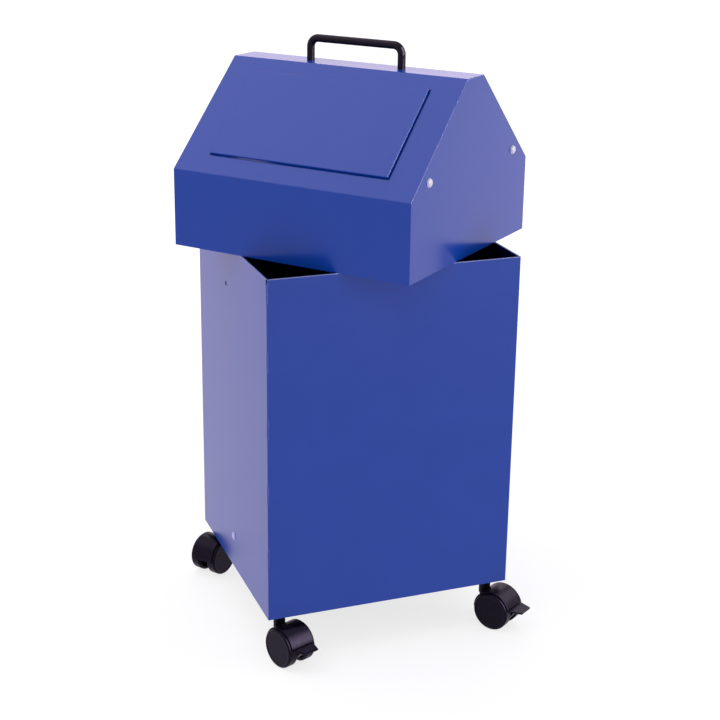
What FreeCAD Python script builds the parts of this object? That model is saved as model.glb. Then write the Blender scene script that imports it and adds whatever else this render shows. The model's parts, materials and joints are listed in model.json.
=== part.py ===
"""Wheeled recycling bin: sheet-steel box on four twin-wheel castors, loose gable hood with two push flaps.

Frame: origin on the floor under the middle of the box, +Z up, the box's front at -Y.
The hood is drawn as it lies in use, turned askew on the rim of the box.
"""
import FreeCAD, Part
import math
import os
import re
import Sketcher

Vector = FreeCAD.Vector

# Driving dimensions, in millimetres and degrees
SIZES = [
    ("box_width", 325.0, "box, outside, left to right"),
    ("box_depth", 305.0, "box, outside, front to back"),
    ("box_height", 440.0, "box, underside to rim"),
    ("wall_sheet", 1.0, "thickness of the box's wall panels"),
    ("bend_radius", 1.0, "inside radius of every fold"),
    ("slit_height", 10.0, "open top of the welded corner seam"),
    ("slit_width", 2.0, "how far the seam is open there"),
    ("hem_depth", 10.0, "rim folded over inwards, height of the fold"),
    ("link_hole", 6.0, "hole in the left wall, diameter"),
    ("link_drop", 53.7, "its centre below the rim"),
    ("link_back", 22.4, "its centre behind the wall's middle"),
    ("floor_sheet", 1.5, "thickness of the floor pan"),
    ("pan_side", 60.0, "height of the pan's side flanges"),
    ("pan_end", 20.0, "height of the pan's front and rear flanges"),
    ("rivet_up", 45.0, "floor rivet above the box's underside"),
    ("rivet_dia", 5.0, "shank of the floor rivet"),
    ("rivet_head", 11.0, "head of the floor rivet, diameter"),
    ("rivet_rise", 2.2, "height of that head"),
    ("hole_play", 0.1, "radial play of a shank in its hole"),
    ("castor_height", 63.0, "floor to the box's underside"),
    ("castor_inset", 20.5, "swivel axis inside the box's walls"),
    ("castor_trail", 21.5, "axle behind the swivel axis"),
    ("wheel_dia", 50.0, "wheel diameter"),
    ("wheel_width", 12.8, "width of one wheel"),
    ("wheel_rim", 3.5, "thickness of the wheel's rim"),
    ("wheel_web", 2.6, "thickness of the wheel's outer disc"),
    ("wheel_edge", 2.6, "rounding of the tread's outer edge"),
    ("face_sink", 0.4, "how far the wheel's face lies below its edge"),
    ("wheel_gap", 0.6, "play between wheel and web"),
    ("web_width", 14.4, "thickness of the castor's web"),
    ("cover_gap", 0.6, "play between tread and cover"),
    ("cover_sheet", 1.4, "wall of the castor's cover"),
    ("cover_edge", 1.0, "rounding of the cover's side edges"),
    ("cover_width", 34.5, "width of the castor's cover"),
    ("cover_sweep", 180.0, "how far round the cover reaches"),
    ("hub_dia", 16.0, "boss round the axle"),
    ("axle_dia", 8.0, "axle diameter"),
    ("run_play", 0.05, "radial play of a running fit"),
    ("neck_dia", 15.0, "castor's neck"),
    ("neck_foot", 9.0, "neck's lower end inside the cover"),
    ("stem_dia", 8.0, "swivel pin inside the neck"),
    ("stem_grip", 23.0, "length of that pin"),
    ("stem_flange", 18.0, "stem's flange under the floor, diameter"),
    ("flange_sheet", 2.5, "thickness of that flange"),
    ("swivel_play", 0.5, "neck below the flange"),
    ("shank_dia", 10.0, "stem's threaded shank"),
    ("shank_spare", 3.0, "shank standing above its nut"),
    ("washer_dia", 30.0, "load washer on the floor"),
    ("washer_sheet", 2.0, "its thickness"),
    ("nut_flats", 17.0, "nut across flats"),
    ("nut_height", 8.0, "nut height"),
    ("turn_fl", -69.0, "front left castor's trail, from +X"),
    ("turn_fr", -56.5, "front right castor's trail, from +X"),
    ("turn_rl", 216.0, "rear left castor's trail, from +X"),
    ("turn_rr", 170.0, "rear right castor's trail, from +X"),
    ("lever_back", 18.0, "brake pivot behind the axle"),
    ("lever_down", 5.0, "brake pivot below the axle"),
    ("lever_pin", 4.0, "brake pivot pin, diameter"),
    ("lever_eye", 8.0, "eye round that pin, diameter"),
    ("lever_width", 21.0, "width of the pedal at its tip"),
    ("lever_root", 31.0, "width of the pedal at the cover"),
    ("lever_reach", 42.5, "pedal's tip behind the axle"),
    ("lever_rise", 8.0, "pedal's top above the axle"),
    ("lever_sheet", 2.2, "thickness of the pedal"),
    ("lever_play", 0.4, "play beside the brake's knuckle and arm"),
    ("knuckle_width", 5.0, "width of the brake's knuckle"),
    ("hood_width", 330.0, "hood, outside, gable to gable"),
    ("hood_depth", 310.0, "hood, outside, front to back"),
    ("skirt_height", 96.0, "upright part of the hood"),
    ("gable_rise", 122.0, "ridge above that"),
    ("ridge_width", 43.0, "flat on top of the hood"),
    ("hood_sheet", 1.0, "thickness of the hood's sheet"),
    ("gable_flange", 12.0, "flange of each gable, under the roof"),
    ("weld_round", 0.8, "roof's end edges, ground round over the gables' welds"),
    ("corner_ease", 0.2, "corner radius of a nested sheet over the fold's"),
    ("hood_twist", -50.74, "hood's turn on the rim, seen from above"),
    ("hood_seat", 0.3, "hood's lower edge above the rim"),
    ("window_width", 250.0, "throw-in opening, across"),
    ("window_low", 27.0, "its lower edge up the slope"),
    ("window_high", 160.0, "its upper edge up the slope"),
    ("flap_gap", 1.2, "slit round the flap"),
    ("flap_proud", 3.5, "flap's face above the roof"),
    ("flap_sheet", 1.0, "thickness of the flap"),
    ("flap_round", 0.9, "rounding of the flap's folds, outside"),
    ("flap_lip", 8.0, "flap's upper lip behind the roof"),
    ("lip_play", 0.4, "that lip below the roof"),
    ("flap_return", 9.0, "flap's lower flange"),
    ("cheek_top", 10.0, "flap's side cheek at its upper end"),
    ("cheek_low", 27.0, "flap's side cheek at the pivot"),
    ("pivot_up", 42.0, "flap's pivot up the slope"),
    ("pivot_deep", 17.3, "flap's pivot below the slope"),
    ("rod_dia", 6.0, "flap's pivot rod"),
    ("cap_dia", 11.0, "cap on the rod's end, diameter"),
    ("cap_rise", 3.2, "its height"),
    ("cap_grip", 1.8, "rod inside the cap"),
    ("bush_dia", 10.0, "flap's bush, outside"),
    ("bush_collar", 14.0, "bush's collar, diameter"),
    ("bush_sheet", 1.2, "thickness of that collar"),
    ("bush_tail", 3.0, "bush inside the cheek"),
    ("wire_dia", 1.6, "spring wire"),
    ("coil_dia", 11.0, "spring coil, middle of the wire"),
    ("coil_pitch", 2.3, "step of one turn"),
    ("coil_turns", 6.0, "whole turns of the spring"),
    ("flap_leg", 55.0, "spring's leg along the flap"),
    ("skirt_leg", 30.0, "foot of the other leg below the pivot"),
    ("leg_play", 0.3, "spring's legs off the sheet"),
    ("stop_up", 20.0, "stop's ledge above the hood's lower edge"),
    ("stop_ledge", 14.0, "how far that ledge reaches in"),
    ("stop_rise", 18.0, "stop's upright leg"),
    ("stop_length", 40.0, "length of each stop"),
    ("stop_sheet", 1.5, "thickness of the stops"),
    ("handle_dia", 10.0, "handle rod"),
    ("handle_span", 129.0, "between its legs' middles"),
    ("handle_height", 33.0, "its top above the ridge"),
    ("handle_bend", 11.0, "bend radius, middle of the rod"),
    ("screw_dia", 5.0, "handle screw"),
    ("screw_grip", 13.0, "screw inside the leg"),
    ("screw_head", 10.0, "screw head, diameter"),
    ("screw_rise", 3.0, "height of that head"),
]

# Sizes that follow from the driving ones
DERIVED = [
    ("rim_z", "castor_height + box_height"),
    ("hood_z", "castor_height + box_height + hood_seat"),
    ("ridge_z", "skirt_height + gable_rise"),
    ("slope_run", "(hood_depth - ridge_width) / 2"),
    ("slope_long", "sqrt(slope_run ^ 2 + gable_rise ^ 2)"),
    ("slope_cos", "slope_run / slope_long"),
    ("slope_sin", "gable_rise / slope_long"),
    ("slope_angle", "atan2(gable_rise; slope_run)"),
    ("eave_shift", "(1 - slope_sin) / slope_cos"),
    ("ridge_shift", "(1 - slope_cos) / slope_sin"),
    ("pivot_y", "hood_depth / 2 - pivot_up * slope_cos - pivot_deep * slope_sin"),
    ("pivot_z", "skirt_height + pivot_up * slope_sin - pivot_deep * slope_cos"),
    ("wheel_rad", "wheel_dia / 2"),
    ("wheel_in", "web_width / 2 + wheel_gap"),
    ("wheel_out", "web_width / 2 + wheel_gap + wheel_width"),
    ("cover_in", "wheel_dia / 2 + cover_gap"),
    ("cover_out", "wheel_dia / 2 + cover_gap + cover_sheet"),
    ("neck_top", "castor_height - flange_sheet - swivel_play"),
    ("floor_top", "castor_height + floor_sheet"),
    ("stem_x", "box_width / 2 - castor_inset"),
    ("stem_y", "box_depth / 2 - castor_inset"),
    ("flap_half", "window_width / 2 - flap_gap"),
    ("flap_low", "window_low + flap_gap"),
    ("flap_high", "window_high - flap_gap"),
]

# Share of a piece's full length that a fold's edge has at least
MOST = 0.9

doc = FreeCAD.newDocument("recycling_bin")
sizes = doc.addObject("Spreadsheet::Sheet", "sizes")
derived = doc.addObject("Spreadsheet::Sheet", "derived")
NAMES = {name: "sizes" for name, value, note in SIZES}
NAMES.update({name: "derived" for name, text in DERIVED})
WORD = re.compile(r"\b(" + "|".join(NAMES) + r")\b")


def link(text):
    """Turns plain size names in a formula into references to the sheets' cells."""
    return WORD.sub(lambda match: NAMES[match.group(1)] + "." + match.group(1), text)


def number(text):
    """The value that a formula has now."""
    found = sizes.evalExpression(link(text))
    return float(getattr(found, "Value", found))


for row, (name, value, note) in enumerate(SIZES, start=1):
    sizes.set(f"A{row}", name)
    sizes.set(f"B{row}", str(value))
    sizes.setAlias(f"B{row}", name)
    sizes.set(f"C{row}", note)
doc.recompute()
for row, (name, text) in enumerate(DERIVED, start=1):
    derived.set(f"A{row}", name)
    derived.set(f"B{row}", "=" + WORD.sub(lambda m: ("" if NAMES[m.group(1)] == "derived" else "sizes.")
                                          + m.group(1), text))
    derived.setAlias(f"B{row}", name)
    doc.recompute()

# Places of the sub-assemblies, as formulas
HOME = "placement(vector(0; 0; 0); rotation(vector(0; 0; 1); 0))"
HALF_TURN = "placement(vector(0; 0; 0); rotation(vector(0; 0; 1); 180))"
HOOD = "placement(vector(0; 0; hood_z); rotation(vector(0; 0; 1); hood_twist))"
SLOPE = "placement(vector(0; -hood_depth / 2; skirt_height); rotation(vector(1; 0; 0); slope_angle))"
ALONG_X = "rotation(vector(0; 1; 0); 90)"
ALONG_Y = "rotation(vector(1; 0; 0); -90)"
UPRIGHT = "rotation(vector(0; 0; 1); 0)"

pieces = []


def finish(piece, label, place=HOME):
    """Names a finished sub-part, sets its place and keeps it for export."""
    piece.Label = label
    piece.setExpression("Placement", link(place))
    pieces.append(piece)
    return piece


def bind(thing, **formulas):
    """Ties an object's sizes to formulas."""
    for prop, text in formulas.items():
        thing.setExpression(prop, link(text))
    return thing


def at(x, y, z, turn=UPRIGHT):
    """A place given by three formulas and a rotation."""
    return f"placement(vector({x}; {y}; {z}); {turn})"


def cylinder(name, radius, height, place, **more):
    rod = doc.addObject("Part::Cylinder", name)
    return bind(rod, Radius=radius, Height=height, Placement=place, **more)


def box(name, length, width, height, place):
    block = doc.addObject("Part::Box", name)
    return bind(block, Length=length, Width=width, Height=height, Placement=place)


def fuse(name, parts):
    joined = doc.addObject("Part::MultiFuse", name)
    joined.Shapes = parts
    joined.Refine = True
    return joined


def cut(name, base, tool):
    rest = doc.addObject("Part::Cut", name)
    rest.Base = base
    rest.Tool = tool
    rest.Refine = True
    return rest


def group(name, parts):
    """Identical small pieces that share one node."""
    held = doc.addObject("Part::Compound", name)
    held.Links = parts
    return held


def new_body(name):
    return doc.addObject("PartDesign::Body", name)


def sketch_on(body, role, lift="0"):
    """A sketch on one of the body's own origin planes, lifted along its normal."""
    plane = next(item for item in body.Origin.OriginFeatures if item.Role == role)
    sketch = body.newObject("Sketcher::SketchObject", "Sketch")
    sketch.AttachmentSupport = [(plane, "")]
    sketch.MapMode = "FlatFace"
    sketch.setExpression("AttachmentOffset.Base.z", link(lift))
    return sketch


def hold(sketch, geometry, point, x, y):
    """Ties one sketch point to a place given by two formulas."""
    for kind, text in (("DistanceX", x), ("DistanceY", y)):
        index = sketch.addConstraint(Sketcher.Constraint(kind, -1, 1, geometry, point, number(text)))
        sketch.setExpression(f"Constraints[{index}]", link(text))


def polygon(sketch, corners):
    """Closed outline of straight edges; each corner is a pair of formulas."""
    spots = [Vector(number(x), number(y), 0) for x, y in corners]
    first = sketch.GeometryCount
    for start, end in zip(spots, spots[1:] + spots[:1]):
        sketch.addGeometry(Part.LineSegment(start, end))
    for index, (x, y) in enumerate(corners):
        after = first + (index + 1) % len(corners)
        sketch.addConstraint(Sketcher.Constraint("Coincident", first + index, 2, after, 1))
        hold(sketch, first + index, 1, x, y)


def rectangle(sketch, x0, y0, x1, y1):
    polygon(sketch, [(x0, y0), (x1, y0), (x1, y1), (x0, y1)])


def circle(sketch, x, y, radius):
    spot = Vector(number(x), number(y), 0)
    index = sketch.addGeometry(Part.Circle(spot, Vector(0, 0, 1), number(radius)))
    hold(sketch, index, 3, x, y)
    last = sketch.addConstraint(Sketcher.Constraint("Radius", index, number(radius)))
    sketch.setExpression(f"Constraints[{last}]", link(radius))


def spin_axis(sketch, x):
    """A construction line parallel to the sketch's upright axis."""
    reach = number("wheel_rad")
    line = sketch.addGeometry(Part.LineSegment(Vector(number(x), 0, 0), Vector(number(x), reach, 0)), True)
    hold(sketch, line, 1, x, "0")
    hold(sketch, line, 2, x, "wheel_rad")


def pad(body, sketch, length, middle=False, back=False):
    solid = body.newObject("PartDesign::Pad", "Pad")
    solid.Profile = sketch
    solid.Midplane = middle
    solid.Reversed = back
    return bind(solid, Length=length)


def pocket(body, sketch, length="", middle=False, back=False):
    """Cuts a sketch's outline; with no length, through everything on both sides."""
    doc.recompute()
    before = body.Shape.Volume
    hollow = body.newObject("PartDesign::Pocket", "Pocket")
    hollow.Profile = sketch
    hollow.Midplane = middle
    hollow.Reversed = back
    if length:
        bind(hollow, Length=length)
    else:
        hollow.Type = "ThroughAll"
        hollow.Midplane = True
    doc.recompute()
    if body.Shape.Volume >= before:
        raise RuntimeError(f"{body.Name}: the cut took nothing away")
    return hollow


def revolve(body, sketch, angle="360", axis="V_Axis", back=False):
    turned = body.newObject("PartDesign::Revolution", "Revolution")
    turned.Profile = sketch
    turned.ReferenceAxis = (sketch, [axis])
    turned.Reversed = back
    return bind(turned, Angle=angle)


def fillet(body, wanted, radius):
    """Rounds the edges of the body's last feature that the test picks."""
    doc.recompute()
    base = body.Tip
    names = [f"Edge{i}" for i, edge in enumerate(base.Shape.Edges, start=1) if wanted(edge)]
    rounded = body.newObject("PartDesign::Fillet", "Fillet")
    rounded.Base = (base, names)
    return bind(rounded, Radius=radius)


def near(a, b):
    return abs(a - b) < 1e-4


def along(edge, axis, length):
    """True for a straight edge parallel to an axis, 0 to 2, of at least that length."""
    if not isinstance(edge.Curve, Part.Line):
        return False
    return abs(edge.Curve.Direction[axis]) > 0.999 and edge.Length > length


# Box: two alike wall panels, welded at two corners, and a riveted floor pan
def wall_panel(label, place, linked):
    """L-folded panel: one long wall, one end wall, the fold between them and a hem along the rim."""
    body = new_body(label)
    outline = sketch_on(body, "XY_Plane", "castor_height")
    polygon(outline, [
        ("-box_width / 2", "-box_depth / 2"),
        ("box_width / 2", "-box_depth / 2"),
        ("box_width / 2", "box_depth / 2 - wall_sheet"),
        ("box_width / 2 - wall_sheet", "box_depth / 2 - wall_sheet"),
        ("box_width / 2 - wall_sheet", "-box_depth / 2 + wall_sheet"),
        ("-box_width / 2", "-box_depth / 2 + wall_sheet"),
    ])
    pad(body, outline, "box_height")
    fold_x = number("box_width / 2")
    fold_y = number("-box_depth / 2")
    sheet = number("wall_sheet")
    tall = number("box_height") * MOST

    def outer(edge):
        spot = edge.CenterOfMass
        return along(edge, 2, tall) and near(spot.x, fold_x) and near(spot.y, fold_y)

    def inner(edge):
        spot = edge.CenterOfMass
        return along(edge, 2, tall) and near(spot.x, fold_x - sheet) and near(spot.y, fold_y + sheet)

    fillet(body, outer, "bend_radius + wall_sheet")
    fillet(body, inner, "bend_radius")
    slit = sketch_on(body, "XZ_Plane")
    rectangle(slit, "-box_width / 2 - wall_sheet", "rim_z - slit_height",
              "-box_width / 2 + slit_width / 2", "rim_z + wall_sheet")
    pocket(body, slit)
    end_slit = sketch_on(body, "YZ_Plane")
    rectangle(end_slit, "box_depth / 2 - wall_sheet - slit_width", "rim_z - slit_height",
              "box_depth / 2", "rim_z + wall_sheet")
    pocket(body, end_slit)
    hems = sketch_on(body, "XY_Plane", "rim_z")
    clear = "(wall_sheet + slit_width)"
    rectangle(hems, f"-box_width / 2 + {clear}", "-box_depth / 2 + wall_sheet",
              f"box_width / 2 - {clear}", "-box_depth / 2 + 2 * wall_sheet")
    rectangle(hems, "box_width / 2 - 2 * wall_sheet", f"-box_depth / 2 + {clear}",
              "box_width / 2 - wall_sheet", f"box_depth / 2 - {clear}")
    pad(body, hems, "hem_depth", back=True)
    holes = sketch_on(body, "YZ_Plane")
    circle(holes, "0", "castor_height + rivet_up", "rivet_dia / 2 + hole_play")
    if linked:
        circle(holes, "-link_back", "rim_z - link_drop", "link_hole / 2")
    pocket(body, holes)
    return finish(body, label, place)


def floor_pan():
    """Floor with tall side flanges for the rivets and low front and rear flanges."""
    body = new_body("floor_pan")
    across = "box_width / 2 - wall_sheet"
    deep = "box_depth / 2 - wall_sheet"
    trough = sketch_on(body, "XZ_Plane")
    polygon(trough, [
        (f"-({across})", "castor_height"),
        (across, "castor_height"),
        (across, "castor_height + pan_side"),
        (f"{across} - floor_sheet", "castor_height + pan_side"),
        (f"{across} - floor_sheet", "floor_top"),
        (f"-({across} - floor_sheet)", "floor_top"),
        (f"-({across} - floor_sheet)", "castor_height + pan_side"),
        (f"-({across})", "castor_height + pan_side"),
    ])
    pad(body, trough, f"2 * ({deep})", middle=True)
    for sign in ("", "-"):
        end = sketch_on(body, "YZ_Plane")
        rectangle(end, f"{sign}({deep} - floor_sheet)", "floor_top - floor_sheet / 2",
                  f"{sign}({deep})", "castor_height + pan_end")
        pad(body, end, f"2 * ({across} - floor_sheet - bend_radius)", middle=True)
    corner_x = number(across)
    corner_y = number(deep)
    flange = number("pan_side") * MOST

    def corners(edge):
        spot = edge.CenterOfMass
        return along(edge, 2, flange) and near(abs(spot.x), corner_x) and near(abs(spot.y), corner_y)

    fillet(body, corners, "bend_radius + corner_ease")
    stems = sketch_on(body, "XY_Plane", "castor_height")
    for x in ("stem_x", "-stem_x"):
        for y in ("stem_y", "-stem_y"):
            circle(stems, x, y, "shank_dia / 2 + hole_play")
    pocket(body, stems)
    rivets = sketch_on(body, "YZ_Plane")
    circle(rivets, "0", "castor_height + rivet_up", "rivet_dia / 2 + hole_play")
    pocket(body, rivets)
    return finish(body, "floor_pan")


def floor_rivets():
    """Domed blind rivets through side wall and pan flange."""
    rivets = []
    for name, side in (("rivet_left", "-90"), ("rivet_right", "90")):
        body = new_body(name)
        section = sketch_on(body, "XZ_Plane")
        polygon(section, [
            ("0", "-wall_sheet - floor_sheet - rivet_rise"),
            ("rivet_dia / 2", "-wall_sheet - floor_sheet - rivet_rise"),
            ("rivet_dia * 0.8", "-wall_sheet - floor_sheet - rivet_rise / 2"),
            ("rivet_dia * 0.8", "-wall_sheet - floor_sheet"),
            ("rivet_dia / 2", "-wall_sheet - floor_sheet"),
            ("rivet_dia / 2", "0"),
            ("rivet_head / 2", "0"),
            ("rivet_head / 2 - rivet_rise / 4", "rivet_rise / 2"),
            ("rivet_head / 4", "rivet_rise"),
            ("0", "rivet_rise"),
        ])
        revolve(body, section)
        sign = "-" if name == "rivet_left" else ""
        turn = f"rotation(vector(0; 1; 0); {side})"
        bind(body, Placement=at(f"{sign}box_width / 2", "0", "castor_height + rivet_up", turn))
        rivets.append(body)
    return finish(group("floor_rivets", rivets), "floor_rivets")


# Castors: stem fixed in the floor, swivelling cover, two free wheels, brake on the front pair
CASTORS = [
    ("front_left", "-stem_x", "-stem_y", "turn_fl", True),
    ("front_right", "stem_x", "-stem_y", "turn_fr", True),
    ("rear_left", "-stem_x", "stem_y", "turn_rl", False),
    ("rear_right", "stem_x", "stem_y", "turn_rr", False),
]


def rim_edges(radius, side):
    """A test for the round edges about the axle of that radius, at that distance from the middle."""
    return lambda edge: (isinstance(edge.Curve, Part.Circle) and near(edge.Curve.Radius, number(radius))
                         and near(abs(edge.Curve.Center.y), number(side)))


def castor_place(x, y, turn):
    return f"placement(vector({x}; {y}; 0); rotation(vector(0; 0; 1); {turn}))"


def castor_stem(corner, place):
    body = new_body(f"stem_{corner}")
    section = sketch_on(body, "XZ_Plane")
    polygon(section, [
        ("0", "castor_height - flange_sheet - stem_grip"),
        ("stem_dia / 2", "castor_height - flange_sheet - stem_grip"),
        ("stem_dia / 2", "castor_height - flange_sheet"),
        ("stem_flange / 2", "castor_height - flange_sheet"),
        ("stem_flange / 2", "castor_height"),
        ("shank_dia / 2", "castor_height"),
        ("shank_dia / 2", "floor_top + washer_sheet + nut_height + shank_spare"),
        ("0", "floor_top + washer_sheet + nut_height + shank_spare"),
    ])
    revolve(body, section)
    return finish(body, f"castor_stem_{corner}", place)


def castor_cover(corner, place, braked):
    """Moulded cover: mudguard and web in one, neck for the stem, boss for the axle."""
    body = new_body(f"cover_{corner}")
    section = sketch_on(body, "XY_Plane", "wheel_rad")
    spin_axis(section, "castor_trail")
    core = "castor_trail + axle_dia / 4"
    polygon(section, [
        (core, "-web_width / 2"),
        ("castor_trail + cover_in", "-web_width / 2"),
        ("castor_trail + cover_in", "-cover_width / 2"),
        ("castor_trail + cover_out", "-cover_width / 2"),
        ("castor_trail + cover_out", "cover_width / 2"),
        ("castor_trail + cover_in", "cover_width / 2"),
        ("castor_trail + cover_in", "web_width / 2"),
        (core, "web_width / 2"),
    ])
    revolve(body, section, "cover_sweep", "Axis0", back=True)
    fillet(body, rim_edges("cover_out", "cover_width / 2"), "cover_edge")
    boss = sketch_on(body, "XZ_Plane")
    circle(boss, "castor_trail", "wheel_rad", "hub_dia / 2")
    pad(body, boss, "web_width", middle=True)
    neck = sketch_on(body, "XZ_Plane")
    polygon(neck, [
        ("0", "wheel_rad + axle_dia"),
        ("neck_foot / 2", "wheel_rad + axle_dia"),
        ("neck_dia / 2", "wheel_rad + 2 * axle_dia"),
        ("neck_dia / 2", "neck_top"),
        ("0", "neck_top"),
    ])
    revolve(body, neck)
    if braked:
        brake_seat(body)
    bore = sketch_on(body, "XY_Plane", "neck_top")
    circle(bore, "0", "0", "stem_dia / 2 + run_play")
    pocket(body, bore, "stem_grip")
    axle = sketch_on(body, "XZ_Plane")
    circle(axle, "castor_trail", "wheel_rad", "axle_dia / 2")
    if braked:
        circle(axle, "castor_trail + lever_back", "wheel_rad - lever_down", "lever_pin / 2")
    pocket(body, axle)
    return finish(body, f"castor_cover_{corner}", place)


def brake_seat(body):
    """Room for the pedal's heel at the cover's rear edge, and the knuckle that carries the lever."""
    heel = sketch_on(body, "XZ_Plane")
    rectangle(heel, "castor_trail + lever_back + lever_eye / 2", "wheel_rad - lever_eye",
              "castor_trail + cover_out + lever_eye", "wheel_rad + lever_rise + lever_play")
    pocket(body, heel)
    stalk = sketch_on(body, "XZ_Plane")
    rectangle(stalk, "castor_trail + lever_back - lever_eye / 2", "wheel_rad - lever_down",
              "castor_trail + lever_back + lever_eye / 2", "wheel_rad + lever_play")
    pad(body, stalk, "knuckle_width", middle=True)
    eye = sketch_on(body, "XZ_Plane")
    circle(eye, "castor_trail + lever_back", "wheel_rad - lever_down", "lever_eye / 2")
    pad(body, eye, "knuckle_width", middle=True)


def castor_wheel(corner, side, place):
    """Hollow wheel: rounded tread, outer disc and a blind hub that runs on the axle."""
    sign = "" if side == "left" else "-"
    body = new_body(f"wheel_{corner}_{side}")
    section = sketch_on(body, "XY_Plane", "wheel_rad")
    spin_axis(section, "castor_trail")
    outline = [
        ("axle_dia / 2 + run_play", "wheel_in"),
        ("hub_dia / 2", "wheel_in"),
        ("hub_dia / 2", "wheel_out - face_sink - wheel_web"),
        ("wheel_rad - wheel_rim", "wheel_out - face_sink - wheel_web"),
        ("wheel_rad - wheel_rim", "wheel_in"),
        ("wheel_rad", "wheel_in"),
        ("wheel_rad", "wheel_out"),
        ("wheel_rad - wheel_edge * 1.4", "wheel_out"),
        ("wheel_rad - wheel_edge * 1.4 - face_sink", "wheel_out - face_sink"),
        ("0", "wheel_out - face_sink"),
        ("0", "wheel_out - face_sink - wheel_web"),
        ("axle_dia / 2 + run_play", "wheel_out - face_sink - wheel_web"),
    ]
    polygon(section, [(f"castor_trail + {x}", f"{sign}({y})") for x, y in outline])
    revolve(body, section, "360", "Axis0")
    fillet(body, rim_edges("wheel_rad", "wheel_out"), "wheel_edge")
    fillet(body, rim_edges("wheel_rad", "wheel_in"), "wheel_edge / 2")
    return finish(body, f"castor_wheel_{corner}_{side}", place)


def castor_axle(corner, place):
    half = "(wheel_out - face_sink - wheel_web - leg_play)"
    rod = cylinder(f"axle_{corner}", "axle_dia / 2", f"2 * {half}", HOME)
    bearing = at("castor_trail", f"-{half}", "wheel_rad", ALONG_Y)
    return finish(rod, f"castor_axle_{corner}", f"{place} * {bearing}")


def brake_lever(corner, place):
    """Tapered pedal behind the tread, with a forked arm on the cover's knuckle."""
    body = new_body(f"lever_{corner}")
    arm = sketch_on(body, "XZ_Plane")
    outline = [
        ("cover_out + lever_eye / 2", "lever_rise"),
        ("cover_out + lever_eye / 2", "lever_rise - lever_sheet"),
        ("cover_in", "-lever_eye / 4"),
        ("lever_back + lever_eye / 2", "-lever_down - lever_eye / 3"),
        ("lever_back", "-lever_down - lever_eye * 0.6"),
        ("lever_back - lever_eye / 2", "-lever_down - lever_eye / 3"),
        ("lever_back - lever_eye / 2", "-lever_down + lever_eye / 5"),
        ("lever_back - lever_eye / 5", "-lever_down + lever_eye / 2"),
        ("lever_back + lever_eye / 2 + lever_play", "-lever_down + lever_eye / 2"),
        ("lever_back + lever_eye / 2 + lever_play * 2", "lever_rise"),
    ]
    polygon(arm, [(f"castor_trail + {x}", f"wheel_rad + {z}") for x, z in outline])
    pad(body, arm, "web_width - lever_play", middle=True)
    pedal = sketch_on(body, "XY_Plane", "wheel_rad + lever_rise")
    polygon(pedal, [
        ("castor_trail + cover_in + lever_play", "-lever_root / 2"),
        ("castor_trail + lever_reach", "-lever_width / 2"),
        ("castor_trail + lever_reach", "lever_width / 2"),
        ("castor_trail + cover_in + lever_play", "lever_root / 2"),
    ])
    pad(body, pedal, "lever_sheet", back=True)
    fork = sketch_on(body, "XZ_Plane")
    rectangle(fork, "castor_trail + lever_back - lever_eye", "wheel_rad - lever_down - lever_eye",
              "castor_trail + lever_back + lever_eye / 2 + lever_play", "wheel_rad + lever_rise")
    pocket(body, fork, "knuckle_width + 2 * lever_play", middle=True)
    eye = sketch_on(body, "XZ_Plane")
    circle(eye, "castor_trail + lever_back", "wheel_rad - lever_down", "lever_pin / 2 + run_play")
    pocket(body, eye)
    finish(body, f"brake_lever_{corner}", place)
    pin = cylinder(f"pin_{corner}", "lever_pin / 2", "web_width - lever_play", HOME)
    finish(pin, f"brake_pin_{corner}", f"{place} * " + at(
        "castor_trail + lever_back", "-(web_width - lever_play) / 2", "wheel_rad - lever_down", ALONG_Y))


def castors():
    washers = []
    nuts = []
    for corner, x, y, turn, braked in CASTORS:
        place = castor_place(x, y, turn)
        castor_stem(corner, place)
        castor_cover(corner, place, braked)
        castor_axle(corner, place)
        castor_wheel(corner, "left", place)
        castor_wheel(corner, "right", place)
        if braked:
            brake_lever(corner, place)
        bed = at(x, y, "floor_top")
        hole = cylinder(f"washer_hole_{corner}", "shank_dia / 2 + hole_play", "washer_sheet", bed)
        disc = cylinder(f"washer_disc_{corner}", "washer_dia / 2", "washer_sheet", bed)
        washers.append(cut(f"washer_{corner}", disc, hole))
        seat = at(x, y, "floor_top + washer_sheet")
        hexagon = doc.addObject("Part::Prism", f"hexagon_{corner}")
        hexagon.Polygon = 6
        bind(hexagon, Circumradius="nut_flats / 2 / cos(30)", Height="nut_height", Placement=seat)
        thread = cylinder(f"thread_{corner}", "shank_dia / 2 + hole_play", "nut_height", seat)
        nuts.append(cut(f"nut_{corner}", hexagon, thread))
    finish(group("castor_washers", washers), "castor_washers")
    finish(group("castor_nuts", nuts), "castor_nuts")


# Hood: folded roof sheet, two flanged gables, handle and stops
def roof_outline(inset):
    """Corners of the hood's section, from front lower edge to rear, at a depth below the sheet's outside."""
    eave = f"skirt_height - {inset} * eave_shift"
    peak = f"ridge_width / 2 - {inset} * ridge_shift"
    side = f"hood_depth / 2 - {inset}"
    top = f"ridge_z - {inset}"
    return [(f"-({side})", "0"), (f"-({side})", eave), (f"-({peak})", top),
            (peak, top), (side, eave), (side, "0")]


def hollow_outline(inset):
    """The same section, run out below the hood's lower edge."""
    corners = roof_outline(inset)
    return [(corners[0][0], "-hood_sheet"), *corners[1:-1], (corners[-1][0], "-hood_sheet")]


def fold_edges(inset):
    """A test for the edges along the hood's folds at that depth."""
    corners = [(number(y), number(z)) for y, z in roof_outline(inset)[1:5]]
    return lambda edge: along(edge, 0, 1.0) and any(
        near(edge.CenterOfMass.y, y) and near(edge.CenterOfMass.z, z) for y, z in corners)


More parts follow.
